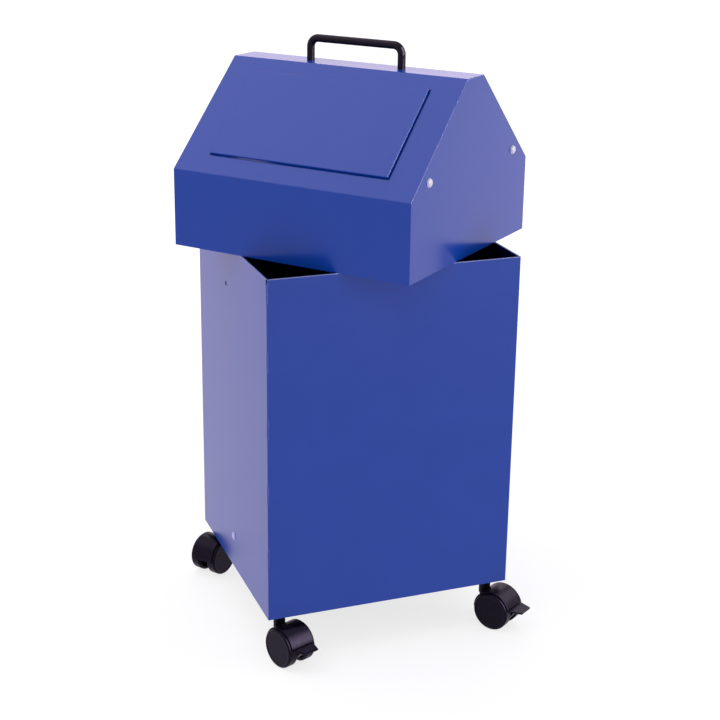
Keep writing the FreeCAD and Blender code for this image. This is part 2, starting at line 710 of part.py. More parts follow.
def hood_roof():
    """Folded sheet with a throw-in opening in each slope; its ends are rounded over the gables' welds."""
    body = new_body("roof_sheet")
    section = sketch_on(body, "YZ_Plane")
    polygon(section, roof_outline("0"))
    pad(body, section, "hood_width", middle=True)
    fillet(body, fold_edges("0"), "bend_radius + hood_sheet")
    end = number("hood_width / 2")

    def welded(edge):
        spot = edge.CenterOfMass
        return near(abs(spot.x), end) and not near(spot.z, 0)

    fillet(body, welded, "weld_round")
    hollow = sketch_on(body, "YZ_Plane")
    polygon(hollow, hollow_outline("hood_sheet"))
    pocket(body, hollow)
    fillet(body, fold_edges("hood_sheet"), "bend_radius")
    screws = sketch_on(body, "XY_Plane", "ridge_z")
    for sign in ("", "-"):
        circle(screws, f"{sign}handle_span / 2", "0", "screw_dia / 2 + hole_play")
    pocket(body, screws)
    windows = []
    for name, turn in (("front", HOME), ("rear", HALF_TURN)):
        place = f"{turn} * {SLOPE} * " + at("-window_width / 2", "window_low", "-2 * hood_sheet")
        tall = "window_high - window_low"
        windows.append(box(f"window_{name}", "window_width", tall, "4 * hood_sheet", place))
    return finish(cut("roof", body, fuse("windows", windows)), "hood_roof", HOOD)


def hood_gable(label, place):
    """Flanged gable that closes one end of the roof."""
    body = new_body(label)
    plate = sketch_on(body, "YZ_Plane", "hood_width / 2")
    polygon(plate, roof_outline("hood_sheet"))
    pad(body, plate, "gable_flange", back=True)
    fillet(body, fold_edges("hood_sheet"), "bend_radius + corner_ease")
    hollow = sketch_on(body, "YZ_Plane", "hood_width / 2 - gable_flange")
    polygon(hollow, hollow_outline("2 * hood_sheet"))
    pocket(body, hollow, "gable_flange - hood_sheet", back=True)
    rods = sketch_on(body, "YZ_Plane")
    circle(rods, "-pivot_y", "pivot_z", "rod_dia / 2 + hole_play")
    circle(rods, "pivot_y", "pivot_z", "rod_dia / 2 + hole_play")
    pocket(body, rods)
    return finish(body, label, f"{HOOD} * {place}")


def hood_stops():
    """Angles on the skirt's inside that rest on the rim when the hood is set square."""
    stops = []
    for index, name in enumerate(("front", "right", "rear", "left")):
        size = "hood_width" if index % 2 else "hood_depth"
        body = new_body(f"stop_{name}")
        section = sketch_on(body, "YZ_Plane")
        face = f"-{size} / 2 + hood_sheet"
        polygon(section, [
            (face, "stop_up"),
            (f"{face} + stop_ledge", "stop_up"),
            (f"{face} + stop_ledge", "stop_up + stop_sheet"),
            (f"{face} + stop_sheet", "stop_up + stop_sheet"),
            (f"{face} + stop_sheet", "stop_up + stop_rise"),
            (face, "stop_up + stop_rise"),
        ])
        pad(body, section, "stop_length", middle=True)
        bind(body, Placement=at("0", "0", "0", f"rotation(vector(0; 0; 1); {90 * index})"))
        stops.append(body)
    return finish(group("stops", stops), "hood_stops", HOOD)


def hood_handle():
    """Round rod bent into a bow, screwed on from below."""
    leg = "(handle_height - handle_dia / 2 - handle_bend)"
    rod = "handle_dia / 2"
    parts = [cylinder("handle_bar", rod, "handle_span - 2 * handle_bend", at(
        "-handle_span / 2 + handle_bend", "0", f"ridge_z + {leg} + handle_bend", ALONG_X))]
    holes = []
    for sign, start in (("", 0), ("-", 90)):
        foot = at(f"{sign}handle_span / 2", "0", "ridge_z")
        parts.append(cylinder(f"handle_leg{start}", rod, leg, foot))
        bend = doc.addObject("Part::Torus", f"handle_bend{start}")
        bend.Angle3 = 90
        centre = at(f"{sign}(handle_span / 2 - handle_bend)", "0", f"ridge_z + {leg}",
                    "rotation(vector(1; 0; 0); 90)")
        bind(bend, Radius1="handle_bend", Radius2=rod,
             Placement=f"{centre} * " + at("0", "0", "0", f"rotation(vector(0; 0; 1); {start})"))
        parts.append(bend)
        holes.append(cylinder(f"handle_hole{start}", "screw_dia / 2 + hole_play",
                              "screw_grip + hood_sheet", foot))
    return finish(cut("handle", fuse("handle_rod", parts), fuse("handle_holes", holes)), "hood_handle", HOOD)


def handle_screws():
    screws = []
    for name, sign in (("right", ""), ("left", "-")):
        spot = f"{sign}handle_span / 2"
        shank = cylinder(f"screw_shank_{name}", "screw_dia / 2", "screw_grip + hood_sheet + screw_rise / 2",
                         at(spot, "0", "ridge_z - hood_sheet - screw_rise / 2"))
        head = cylinder(f"screw_head_{name}", "screw_head / 2", "screw_rise",
                        at(spot, "0", "ridge_z - hood_sheet - screw_rise"))
        screws.append(fuse(f"screw_{name}", [shank, head]))
    return finish(group("screws", screws), "handle_screws", HOOD)


# Flaps: folded trays that turn on rods between the gables, each closed by a leg spring
def flap(name, turn):
    """Push flap in the slope's own frame: Y runs up the slope and Z stands out of it."""
    body = new_body(f"flap_{name}")
    lip_under = "-hood_sheet - lip_play"
    face_under = "flap_proud - flap_sheet"
    section = sketch_on(body, "YZ_Plane")
    polygon(section, [
        ("flap_low", "flap_proud"),
        ("flap_high", "flap_proud"),
        ("flap_high", lip_under),
        ("window_high + flap_lip", lip_under),
        ("window_high + flap_lip", f"{lip_under} - flap_sheet"),
        ("flap_high - flap_sheet", f"{lip_under} - flap_sheet"),
        ("flap_high - flap_sheet", face_under),
        ("flap_low + flap_sheet", face_under),
        ("flap_low + flap_sheet", "-flap_return"),
        ("flap_low", "-flap_return"),
    ])
    pad(body, section, "2 * flap_half", middle=True)
    cheek = [
        ("flap_low", "flap_proud"),
        ("flap_high", "flap_proud"),
        ("flap_high", "-cheek_top"),
        ("pivot_up + cheek_low", "-cheek_low"),
        ("pivot_up - cheek_low / 3", "-cheek_low"),
        ("flap_low", "-flap_return"),
    ]
    for lift, back in (("flap_half", True), ("-flap_half", False)):
        side = sketch_on(body, "YZ_Plane", lift)
        polygon(side, cheek)
        pad(body, side, "flap_sheet", back=back)
    fold = number("flap_half")
    face = number("flap_proud")
    ends = number("2 * flap_half") * MOST
    sides = number("flap_high - flap_low") * MOST

    def end_folds(edge):
        spot = edge.CenterOfMass
        outer = near(spot.y, number("flap_low")) or near(spot.y, number("flap_high"))
        return along(edge, 0, ends) and outer and near(spot.z, face)

    def side_folds(edge):
        spot = edge.CenterOfMass
        return along(edge, 1, sides) and near(abs(spot.x), fold) and near(spot.z, face)

    fillet(body, end_folds, "flap_round")
    fillet(body, side_folds, "flap_round")
    bores = sketch_on(body, "YZ_Plane")
    circle(bores, "pivot_up", "-pivot_deep", "bush_dia / 2 + run_play")
    pocket(body, bores)
    place = f"{HOOD} * {turn} * {SLOPE}"
    finish(body, f"flap_{name}", place)
    bushes = []
    for side, sign in (("right", 1), ("left", -1)):
        bush = new_body(f"bush_{name}_{side}")
        profile = sketch_on(bush, "XZ_Plane")
        polygon(profile, [
            ("rod_dia / 2 + run_play", "-bush_sheet"),
            ("bush_collar / 2", "-bush_sheet"),
            ("bush_collar / 2", "0"),
            ("bush_dia / 2", "0"),
            ("bush_dia / 2", "flap_sheet + bush_tail"),
            ("rod_dia / 2 + run_play", "flap_sheet + bush_tail"),
        ])
        revolve(bush, profile)
        bind(bush, Placement=at(f"{sign} * flap_half", "pivot_up", "-pivot_deep",
                                f"rotation(vector(0; 1; 0); {-90 * sign})"))
        bushes.append(bush)
    finish(group(f"bushes_{name}", bushes), f"flap_bushes_{name}", place)


def flap_rods():
    caps = []
    for name, sign in (("front", "-"), ("rear", "")):
        rod = cylinder(f"rod_{name}", "rod_dia / 2", "hood_width + 2 * cap_grip", HOME)
        finish(rod, f"flap_rod_{name}", f"{HOOD} * " + at(
            "-hood_width / 2 - cap_grip", f"{sign}pivot_y", "pivot_z", ALONG_X))
        for side, turn in (("", 90), ("-", -90)):
            cap = new_body(f"cap_{name}_{turn % 360}")
            section = sketch_on(cap, "XZ_Plane")
            polygon(section, [
                ("rod_dia / 2 + run_play", "0"),
                ("cap_dia / 2", "0"),
                ("cap_dia / 2 - cap_rise / 4", "cap_rise * 0.6"),
                ("cap_dia / 4", "cap_rise"),
                ("0", "cap_rise"),
                ("0", "cap_grip + hole_play"),
                ("rod_dia / 2 + run_play", "cap_grip + hole_play"),
            ])
            revolve(cap, section)
            bind(cap, Placement=at(f"{side}hood_width / 2", f"{sign}pivot_y", "pivot_z",
                                   f"rotation(vector(0; 1; 0); {turn})"))
            caps.append(cap)
    finish(group("caps", caps), "flap_rod_caps", HOOD)


def arc_from(start, way, end):
    """Circular arc that leaves start in the direction way and passes through end."""
    chord = end - start
    unit = Vector(chord).normalize()
    side = way - unit * way.dot(unit)
    half = math.acos(max(-1.0, min(1.0, way.dot(unit) / way.Length)))
    side.normalize()
    middle = start + chord * 0.5 + side * (chord.Length / 2 * math.tan(half / 2))
    return Part.Arc(start, middle, end).toShape()


def biarc(start, way_in, end, way_out):
    """Two arcs that join smoothly between two points with given directions."""
    gap = end - start
    ways = way_in + way_out
    spread = 2 * (1 - way_in.dot(way_out))
    reach = (-gap.dot(ways) + math.sqrt(gap.dot(ways) ** 2 + spread * gap.dot(gap))) / spread
    joint = (start + way_in * reach + end - way_out * reach) * 0.5
    back = arc_from(end, -way_out, joint)
    return [arc_from(start, way_in, joint), back]


def flap_spring(name, turn):
    """Leg spring on the rod: one leg under the flap, the other behind the skirt."""
    wire = number("wire_dia") / 2
    coil = number("coil_dia") / 2
    pitch = number("coil_pitch")
    clear = wire + number("leg_play")
    angle = math.radians(number("slope_angle"))
    # both feet, measured from the rod in the slope's own frame
    flap_foot = (number("flap_leg"), number("pivot_deep + flap_proud - flap_sheet") - clear)
    back = number("hood_depth / 2 - hood_sheet - pivot_y") - clear
    drop = number("skirt_leg")
    skirt_foot = (-back * math.cos(angle) - drop * math.sin(angle),
                  back * math.sin(angle) - drop * math.cos(angle))

    def touch(foot, sense):
        """Angle on the coil where a straight leg to that foot leaves it."""
        return math.atan2(foot[1], foot[0]) + sense * math.acos(coil / math.hypot(*foot))

    begin = touch(flap_foot, 1)
    stop = touch(skirt_foot, -1)
    while stop < begin:
        stop += 2 * math.pi
    stop += 2 * math.pi * number("coil_turns")
    quarters = round((stop - begin) / (math.pi / 2))
    stretch = pitch * (stop - begin) / (2 * math.pi)

    def spot(turned):
        x = pitch * (turned - begin) / (2 * math.pi) - stretch / 2
        return Vector(x, coil * math.cos(turned), coil * math.sin(turned))

    def way(turned):
        return Vector(pitch / (2 * math.pi), -coil * math.sin(turned), coil * math.cos(turned)).normalize()

    angles = [begin + (stop - begin) * i / quarters for i in range(quarters + 1)]
    first_leg = math.sqrt(flap_foot[0] ** 2 + flap_foot[1] ** 2 - coil ** 2)
    last_leg = math.sqrt(skirt_foot[0] ** 2 + skirt_foot[1] ** 2 - coil ** 2)
    tip = spot(begin) - way(begin) * first_leg
    tail = spot(stop) + way(stop) * last_leg
    edges = [Part.LineSegment(tip, spot(begin)).toShape()]
    for low, high in zip(angles, angles[1:]):
        edges += biarc(spot(low), way(low), spot(high), way(high))
    edges.append(Part.LineSegment(spot(stop), tail).toShape())
    path = Part.Wire(Part.__sortEdges__(edges))
    ring = Part.Wire(Part.Circle(tip, way(begin), wire).toShape())
    shell = Part.BRepOffsetAPI.MakePipeShell(path)
    shell.add(ring)
    shell.build()
    shell.makeSolid()
    tube = shell.shape()
    expected = math.pi * wire ** 2 * path.Length
    # neighbouring turns, on points of the coil
    samples = 240
    points = [spot(begin + (stop - begin) * i / samples) for i in range(samples + 1)]
    turns = (stop - begin) / (2 * math.pi)
    apart = int(samples / 2 / turns)
    least = min((points[i] - points[j]).Length
                for i in range(samples + 1) for j in range(i + apart, samples + 1)) - 2 * wire
    print(f"spring {name}: least gap {least:.2f} mm, {tube.Volume / expected:.4f} of section times length")
    spring = doc.addObject("Part::Feature", f"spring_{name}")
    spring.Shape = tube
    pivot = at("0", "pivot_up", "-pivot_deep")
    finish(spring, f"flap_spring_{name}", f"{HOOD} * {turn} * {SLOPE} * {pivot}")


def export():
    """Checks every object, then writes one file for each sub-part."""
    doc.recompute()
    for item in doc.Objects:
        if "Invalid" in item.State or "Error" in item.State:
            raise RuntimeError(f"{item.Label}: {item.State}")
    for piece in pieces:
        if piece.Shape.isNull() or not piece.Shape.isValid():
            raise RuntimeError(f"{piece.Label}: bad shape")
    os.makedirs("parts", exist_ok=True)
    for piece in pieces:
        piece.Shape.exportStep(f"parts/{piece.Label}.step")
        print(f"{piece.Label}: {len(piece.Shape.Solids)} solids, {piece.Shape.Volume / 1000:.2f} cm3")


wall_panel("wall_front_right", HOME, False)
wall_panel("wall_rear_left", HALF_TURN, True)
floor_pan()
floor_rivets()
castors()
hood_roof()
hood_gable("hood_gable_right", HOME)
hood_gable("hood_gable_left", HALF_TURN)
hood_stops()
hood_handle()
handle_screws()
for end, facing in (("front", HOME), ("rear", HALF_TURN)):
    flap(end, facing)
    flap_spring(end, facing)
flap_rods()
export()
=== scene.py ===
"""Looks of the wheeled recycling bin: coated sheet steel, moulded castors and a bent rod handle."""

import bmesh
import bpy
import json
import math
from mathutils import Matrix, Vector

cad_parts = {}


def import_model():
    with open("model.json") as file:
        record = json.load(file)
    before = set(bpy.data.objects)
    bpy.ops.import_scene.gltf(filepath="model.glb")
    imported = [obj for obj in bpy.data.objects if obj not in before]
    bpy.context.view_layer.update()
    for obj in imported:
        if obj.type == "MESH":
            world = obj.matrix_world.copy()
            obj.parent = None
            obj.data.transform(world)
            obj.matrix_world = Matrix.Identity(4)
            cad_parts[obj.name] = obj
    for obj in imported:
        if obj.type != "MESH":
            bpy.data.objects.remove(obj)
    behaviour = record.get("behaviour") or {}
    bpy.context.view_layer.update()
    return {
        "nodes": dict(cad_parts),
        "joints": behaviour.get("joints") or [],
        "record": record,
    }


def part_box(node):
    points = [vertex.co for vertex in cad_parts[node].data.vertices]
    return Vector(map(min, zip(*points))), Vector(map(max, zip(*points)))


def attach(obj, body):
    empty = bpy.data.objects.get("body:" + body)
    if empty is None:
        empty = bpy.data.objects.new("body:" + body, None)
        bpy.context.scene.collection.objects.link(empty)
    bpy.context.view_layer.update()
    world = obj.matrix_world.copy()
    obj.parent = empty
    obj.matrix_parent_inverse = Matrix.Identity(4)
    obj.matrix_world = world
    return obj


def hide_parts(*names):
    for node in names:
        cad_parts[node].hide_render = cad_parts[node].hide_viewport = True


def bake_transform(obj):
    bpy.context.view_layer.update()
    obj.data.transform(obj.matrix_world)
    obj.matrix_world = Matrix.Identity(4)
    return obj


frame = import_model()
JOINTS = {joint["name"]: joint for joint in frame["joints"]}
BODIES = frame["record"]["behaviour"]["bodies"]
BODY_OF = {node: body for body, nodes in BODIES.items() for node in nodes}
SLOT_OF = {part["node"]: part["material_slot"] for part in frame["record"]["subparts"]}

# Camera, in metres and degrees
CAMERA_PLACE = Vector((-0.6505, -1.7483, 0.9993))
CAMERA_AZIMUTH = -20.72
CAMERA_ELEVATION = 18.21
CAMERA_ROLL = 0.81
CAMERA_LENS = 75.65
CAMERA_SENSOR = 36.0
CAMERA_SHIFT = -0.05

# Studio: the surroundings as seen and as light, and the lamps, in metres and watts
WHITE_TINT = (1.0, 0.88, 1.02, 1.0)
WHITE_LEVEL = 1.15
WORLD_LIGHT = 0.76
FLOOR_TONE = 0.30
FLOOR_GLOW = 0.75
FLOOR_SIZE = 12.0
FLOOR_FADE = (0.6, 1.5)
FLOOR_LEAN = ((-3.0, 0.72), (3.0, 1.20))
LAMPS = [
    # name, place, aim, width, height, watts, whether it also lights matt surfaces
    ("top_softbox", (-1.1, 0.2, 2.6), (0.0, 0.0, 0.6), 2.8, 2.8, 25.0, True),
    ("back_softbox", (1.0, 2.7, 2.0), (0.0, 0.0, 0.7), 2.6, 1.3, 20.0, True),
    ("right_strip", (1.9, -1.15, 0.8), (0.0, 0.0, 0.4), 0.14, 1.2, 7.0, True),
    ("right_panel", (1.22, -1.78, 1.5), (0.0, 0.0, 0.45), 2.0, 2.4, 230.0, False),
    ("right_wash", (2.2, 0.1, 1.6), (0.0, 0.0, 0.4), 1.8, 1.6, 24.0, False),
]

# Zones of the finishes, in metres: inside the box's walls, where painted shade goes, round them, along the
# rim, where a painted highlight goes, and the low rivets
HALF_WIDTH, HALF_DEPTH, RIM_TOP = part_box("wall_rear_left")[1]
INTO_WALL = 0.0008
PAST_WALL = 0.0002
BOX_INSIDE = (HALF_WIDTH - INTO_WALL, HALF_DEPTH - INTO_WALL)
BOX_OUTSIDE = (HALF_WIDTH + PAST_WALL, HALF_DEPTH + PAST_WALL)
BOX_RIM = RIM_TOP - 0.0005
# a thin band at the rim's top edge, which gets a painted highlight
RIM_HIGHLIGHT_BAND = (RIM_TOP - 0.0007, RIM_TOP + 0.0001)
LOW_HEADS = 0.3

# Springs, in metres: a little more than the coil's outer radius and than one wire
COIL_RADIUS = 0.0064
COIL_END = 0.0017

# Sizes of the finishing details, in metres
PEDAL_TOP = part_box("brake_lever_front_left")[1][2]
PEDAL_RIBS = (0.0295, 0.0395)
PEDAL_WIDTHS = (0.0265, 0.0205)
RIB_COUNT = 5
RIB_RADIUS = 0.00045
THREAD_PITCH = 0.0015
THREAD_TURNS = 2.0
CREST_SHARE = 0.3
SHANK_RADIUS = 0.005
SHANK_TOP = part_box("castor_stem_front_left")[1][2]
STITCH_FROM = 0.135
STITCH_STEP = 0.085
STITCH_COUNT = 5
BEAD_STEP = 0.0022
BEAD_COUNT = 11
BEAD_SIZE = (0.0013, 0.0013, 0.0016)

# Edges eased on each kind of piece, in metres, by the start of its name; the first that fits counts
EASED = [
    ("castor_cover", 0.0004),
    ("castor_wheel", 0.0002),
    ("castor_nuts", 0.0006),
    ("brake_lever", 0.0006),
    ("castor", 0.0003),
    ("hood_handle", 0.0),
    ("hood", 0.0004),
    ("wall", 0.0004),
    ("flap_spring", 0.0),
    ("flap_rod_caps", 0.0),
    ("flap_front", 0.0003),
    ("flap_rear", 0.0003),
    ("floor_rivets", 0.0),
    ("", 0.0002),
]

# Shading and merging of the meshes, in degrees and metres
SMOOTH_ANGLE = 32.0
FLAT_ANGLE = 0.4
MERGE_DISTANCE = 2e-6

# Colours, linear; a pair is what a finish's clouds vary between
BLUE_COAT = ((0.0028, 0.0430, 0.308), (0.0034, 0.0450, 0.318))
BLUE_RUBBED = (0.02, 0.07, 0.34)
# painted shade: the coat inside the box is darkened to stand for the shade that falls there
BLUE_INSIDE_SHADE = (0.0005, 0.0036, 0.030)
# painted highlight: a lighter band along the rim's top edge, standing for the light its edge catches
BLUE_RIM_HIGHLIGHT = (0.16, 0.19, 0.42)
PLASTIC = ((0.0022, 0.0014, 0.0048), (0.0034, 0.0024, 0.0066))
PLASTIC_SHEEN = (0.76, 0.68, 1.0, 1.0)
PLASTIC_DUST = (0.10, 0.095, 0.10)
HANDLE = ((0.0022, 0.0016, 0.0040), (0.0034, 0.0026, 0.0058))
HANDLE_SHEEN = (0.88, 0.80, 1.0, 1.0)
BLACK_SCUFFED = (0.02, 0.018, 0.024)
LACQUER = ((0.58, 0.58, 0.66), (0.64, 0.64, 0.70))
# a bluer tone for the heads low on the box
LACQUER_LOW = (0.42, 0.44, 0.74)
ZINC = ((0.56, 0.57, 0.58), (0.68, 0.68, 0.66))
ZINC_RUBBED = (0.44, 0.44, 0.45)
NYLON = ((0.74, 0.73, 0.67), (0.80, 0.79, 0.74))

# Patterns of the finishes; scales are in cells a metre, the turn in radians
CLOUD_FINENESS = 2.7
HAIR_TURN = (0.5, 0.3, 0.8)
PATCH_SCALE = 11.0
SPECK_SCALE = 160.0
RUB_DULLING = 0.2


# Shader node groups
def new_group(name, inputs, outputs):
    """An empty shader group with named sockets; returns it with its two end nodes."""
    group = bpy.data.node_groups.new(name, "ShaderNodeTree")
    for label, kind, value in inputs:
        socket = group.interface.new_socket(label, in_out="INPUT", socket_type=kind)
        if value is not None:
            socket.default_value = value
    for label, kind in outputs:
        group.interface.new_socket(label, in_out="OUTPUT", socket_type=kind)
    return group, group.nodes.new("NodeGroupInput"), group.nodes.new("NodeGroupOutput")


def plug(tree, value, socket):
    """Links a socket to an input, or sets the input to a plain value."""
    if hasattr(value, "links"):
        tree.links.new(value, socket)
    else:
        socket.default_value = value


def noise(tree, coordinates, scale, detail, rough):
    """A noise texture; scale is a number or a socket."""
    node = tree.nodes.new("ShaderNodeTexNoise")
    node.inputs["Detail"].default_value = detail
    node.inputs["Roughness"].default_value = rough
    tree.links.new(coordinates, node.inputs["Vector"])
    plug(tree, scale, node.inputs["Scale"])
    return node.outputs["Fac"]


def math_node(tree, operation, first, second=None):
    """One sum on numbers or sockets."""
    node = tree.nodes.new("ShaderNodeMath")
    node.operation = operation
    for socket, value in zip(node.inputs, (first, second)):
        if value is not None:
            plug(tree, value, socket)
    return node.outputs["Value"]


def product(tree, first, *others):
    """All the values multiplied."""
    for other in others:
        first = math_node(tree, "MULTIPLY", first, other)
    return first


def spread(tree, value, low, high, to_low, to_high):
    """Maps a value's range to another, clamped and eased."""
    node = tree.nodes.new("ShaderNodeMapRange")
    node.interpolation_type = "SMOOTHSTEP"
    tree.links.new(value, node.inputs["Value"])
    plug(tree, low, node.inputs["From Min"])
    plug(tree, high, node.inputs["From Max"])
    plug(tree, to_low, node.inputs["To Min"])
    plug(tree, to_high, node.inputs["To Max"])
    return node.outputs["Result"]


def blended(tree, mask, first, second):
    """Mixes two colours, or a socket and a colour, by a mask."""
    node = tree.nodes.new("ShaderNodeMix")
    node.data_type = "RGBA"
    tree.links.new(mask, node.inputs["Factor"])
    for label, value in (("A", first), ("B", second)):
        plug(tree, value if hasattr(value, "links") else (*value, 1.0), node.inputs[label])
    return node.outputs["Result"]


def parted(tree, coordinates):
    """The X, Y and Z of some coordinates, as sockets."""
    split = tree.nodes.new("ShaderNodeSeparateXYZ")
    tree.links.new(coordinates, split.inputs["Vector"])
    return split.outputs


def surface_grain_group():
    """Fine relief of a coated or moulded surface, with a slower wave of the sheet below it."""
    group, entry, leave = new_group(
        "surface_grain",
        [("Coordinates", "NodeSocketVector", None), ("Grain Scale", "NodeSocketFloat", 500.0),
         ("Wave Scale", "NodeSocketFloat", 9.0), ("Wave Share", "NodeSocketFloat", 1.0)],
        [("Height", "NodeSocketFloat"), ("Cloud", "NodeSocketFloat")])
    place = entry.outputs["Coordinates"]
    grain = noise(group, place, entry.outputs["Grain Scale"], detail=2.0, rough=0.45)
    wave = noise(group, place, entry.outputs["Wave Scale"], detail=1.0, rough=0.4)
    waved = product(group, wave, entry.outputs["Wave Share"])
    group.links.new(math_node(group, "ADD", grain, waved), leave.inputs["Height"])
    cloud_scale = product(group, entry.outputs["Wave Scale"], CLOUD_FINENESS)
    cloud = noise(group, place, cloud_scale, detail=4.0, rough=0.55)
    group.links.new(spread(group, cloud, 0.3, 0.7, 0.0, 1.0), leave.inputs["Cloud"])
    return group


def rub_marks_group():
    """Faint hairlines and rubbed patches of a piece that is handled and rolled about."""
    group, entry, leave = new_group(
        "rub_marks",
        [("Coordinates", "NodeSocketVector", None), ("Hair Scale", "NodeSocketFloat", 40.0),
         ("Stretch", "NodeSocketVector", (1.0, 1.0, 22.0)), ("Amount", "NodeSocketFloat", 0.5)],
        [("Mask", "NodeSocketFloat")])
    turn = group.nodes.new("ShaderNodeMapping")
    turn.inputs["Rotation"].default_value = HAIR_TURN
    group.links.new(entry.outputs["Coordinates"], turn.inputs["Vector"])
    group.links.new(entry.outputs["Stretch"], turn.inputs["Scale"])
    streaks = noise(group, turn.outputs["Vector"], entry.outputs["Hair Scale"], detail=3.0, rough=0.6)
    hair = spread(group, streaks, 0.62, 0.74, 0.0, 1.0)
    spots = noise(group, entry.outputs["Coordinates"], PATCH_SCALE, detail=3.0, rough=0.5)
    patch = spread(group, spots, 0.5, 0.75, 0.0, 1.0)
    group.links.new(product(group, hair, patch, entry.outputs["Amount"]), leave.inputs["Mask"])
    return group


def floor_dust_group():
    """Dust that gathers low down, thinning out with height."""
    group, entry, leave = new_group(
        "floor_dust",
        [("Coordinates", "NodeSocketVector", None), ("Reach", "NodeSocketFloat", 0.06),
         ("Amount", "NodeSocketFloat", 0.5)],
        [("Mask", "NodeSocketFloat")])
    place = entry.outputs["Coordinates"]
    low = spread(group, parted(group, place)["Z"], 0.0, entry.outputs["Reach"], 1.0, 0.0)
    grit = noise(group, place, SPECK_SCALE, detail=5.0, rough=0.65)
    specks = spread(group, grit, 0.4, 0.75, 0.15, 1.0)
    group.links.new(product(group, low, specks, entry.outputs["Amount"]), leave.inputs["Mask"])
    return group


def within_box_group():
    """1 within an upright box about the origin, up to its rim, and 0 outside it."""
    group, entry, leave = new_group(
        "within_box",
        [("Coordinates", "NodeSocketVector", None), ("Half Width", "NodeSocketFloat", 1.0),
         ("Half Depth", "NodeSocketFloat", 1.0), ("Rim", "NodeSocketFloat", 1.0)],
        [("Mask", "NodeSocketFloat")])
    place = parted(group, entry.outputs["Coordinates"])
    aside = math_node(group, "ABSOLUTE", place["X"])
    ahead = math_node(group, "ABSOLUTE", place["Y"])
    across = math_node(group, "LESS_THAN", aside, entry.outputs["Half Width"])
    along = math_node(group, "LESS_THAN", ahead, entry.outputs["Half Depth"])
    below = math_node(group, "LESS_THAN", place["Z"], entry.outputs["Rim"])
    group.links.new(product(group, across, along, below), leave.inputs["Mask"])
    return group


GRAIN = surface_grain_group()
RUBS = rub_marks_group()
DUST = floor_dust_group()
WITHIN = within_box_group()


# Materials
class Finish:
    """A Principled material whose nodes read the piece's own object coordinates."""

    def __init__(self, name, **constants):
        self.material = bpy.data.materials.new(name)
        self.material.use_nodes = True
        self.tree = self.material.node_tree
        self.shader = self.tree.nodes["Principled BSDF"]
        self.coordinates = self.tree.nodes.new("ShaderNodeTexCoord").outputs["Object"]
        for label, value in constants.items():
            self.shader.inputs[label.replace("_", " ")].default_value = value

    def effect(self, group, **values):
        """Places a shared effect with this material's own values."""
        node = self.tree.nodes.new("ShaderNodeGroup")
        node.node_tree = group
        self.tree.links.new(self.coordinates, node.inputs["Coordinates"])
        for label, value in values.items():
            node.inputs[label.replace("_", " ")].default_value = value
        return node

    def blend(self, mask, first, second):
        """Mixes two of this material's colours by a mask."""
        return blended(self.tree, mask, first, second)

    def relief(self, grain, depth):
        """Raises the surface by a grain's height, to a depth in metres."""
        node = self.tree.nodes.new("ShaderNodeBump")
        node.inputs["Distance"].default_value = depth
        node.inputs["Strength"].default_value = 1.0
        self.tree.links.new(grain.outputs["Height"], node.inputs["Height"])
        self.tree.links.new(node.outputs["Normal"], self.shader.inputs["Normal"])

    def roughen(self, grain, low, high, marks=None, share=1.0):
        """Roughness between two values by a grain's clouds, and duller by a share of some marks."""
        rough = spread(self.tree, grain.outputs["Cloud"], 0.0, 1.0, low, high)
        if marks is not None:
            more = product(self.tree, marks.outputs["Mask"], share)
            rough = math_node(self.tree, "ADD", rough, more)
        self.feed("Roughness", rough)

    def feed(self, label, socket):
        """Links a socket to an input of the shader."""
        self.tree.links.new(socket, self.shader.inputs[label])


def blue_powder_coat():
    """Satin powder coat with faint orange peel and faint rub marks, painted shade inside the box and a
    painted highlight along its rim.
    """
    coat = Finish("blue_powder_coat", IOR=1.4)
    grain = coat.effect(GRAIN, Grain_Scale=420.0, Wave_Scale=5.0, Wave_Share=2.0)
    rubs = coat.effect(RUBS, Hair_Scale=26.0, Amount=0.12)
    # mask of the inside of the box, where the coat gets painted shade
    width, depth = BOX_INSIDE
    inside = coat.effect(WITHIN, Half_Width=width, Half_Depth=depth, Rim=BOX_RIM)
    # mask of a thin band at the rim's top edge, which gets a painted highlight
    width, depth = BOX_OUTSIDE
    low, high = (coat.effect(WITHIN, Half_Width=width, Half_Depth=depth, Rim=height) for height in RIM_HIGHLIGHT_BAND)
    rim = math_node(coat.tree, "SUBTRACT", high.outputs["Mask"], low.outputs["Mask"])
    tone = coat.blend(grain.outputs["Cloud"], *BLUE_COAT)
    worn = coat.blend(rubs.outputs["Mask"], tone, BLUE_RUBBED)
    # painted shade inside the box
    inside_shaded = coat.blend(inside.outputs["Mask"], worn, BLUE_INSIDE_SHADE)
    # painted highlight along the rim's top edge
    coat.feed("Base Color", coat.blend(rim, inside_shaded, BLUE_RIM_HIGHLIGHT))
    coat.roughen(grain, low=0.19, high=0.21, marks=rubs, share=RUB_DULLING)
    coat.relief(grain, depth=0.000006)
    return coat.material


def black_moulded_plastic():
    """Moulded castor plastic: fine spark-eroded grain, dust low down, scuffs."""
    plastic = Finish("black_moulded_plastic", IOR=1.212, Specular_Tint=PLASTIC_SHEEN)
    grain = plastic.effect(GRAIN, Grain_Scale=1500.0, Wave_Scale=60.0, Wave_Share=0.6)
    rubs = plastic.effect(RUBS, Hair_Scale=120.0, Stretch=(1.0, 1.0, 9.0), Amount=0.35)
    dust = plastic.effect(DUST, Reach=0.012, Amount=0.10)
    tone = plastic.blend(grain.outputs["Cloud"], *PLASTIC)
    worn = plastic.blend(rubs.outputs["Mask"], tone, BLACK_SCUFFED)
    plastic.feed("Base Color", plastic.blend(dust.outputs["Mask"], worn, PLASTIC_DUST))
    plastic.roughen(grain, low=0.27, high=0.33, marks=dust)
    plastic.relief(grain, depth=0.000015)
    return plastic.material


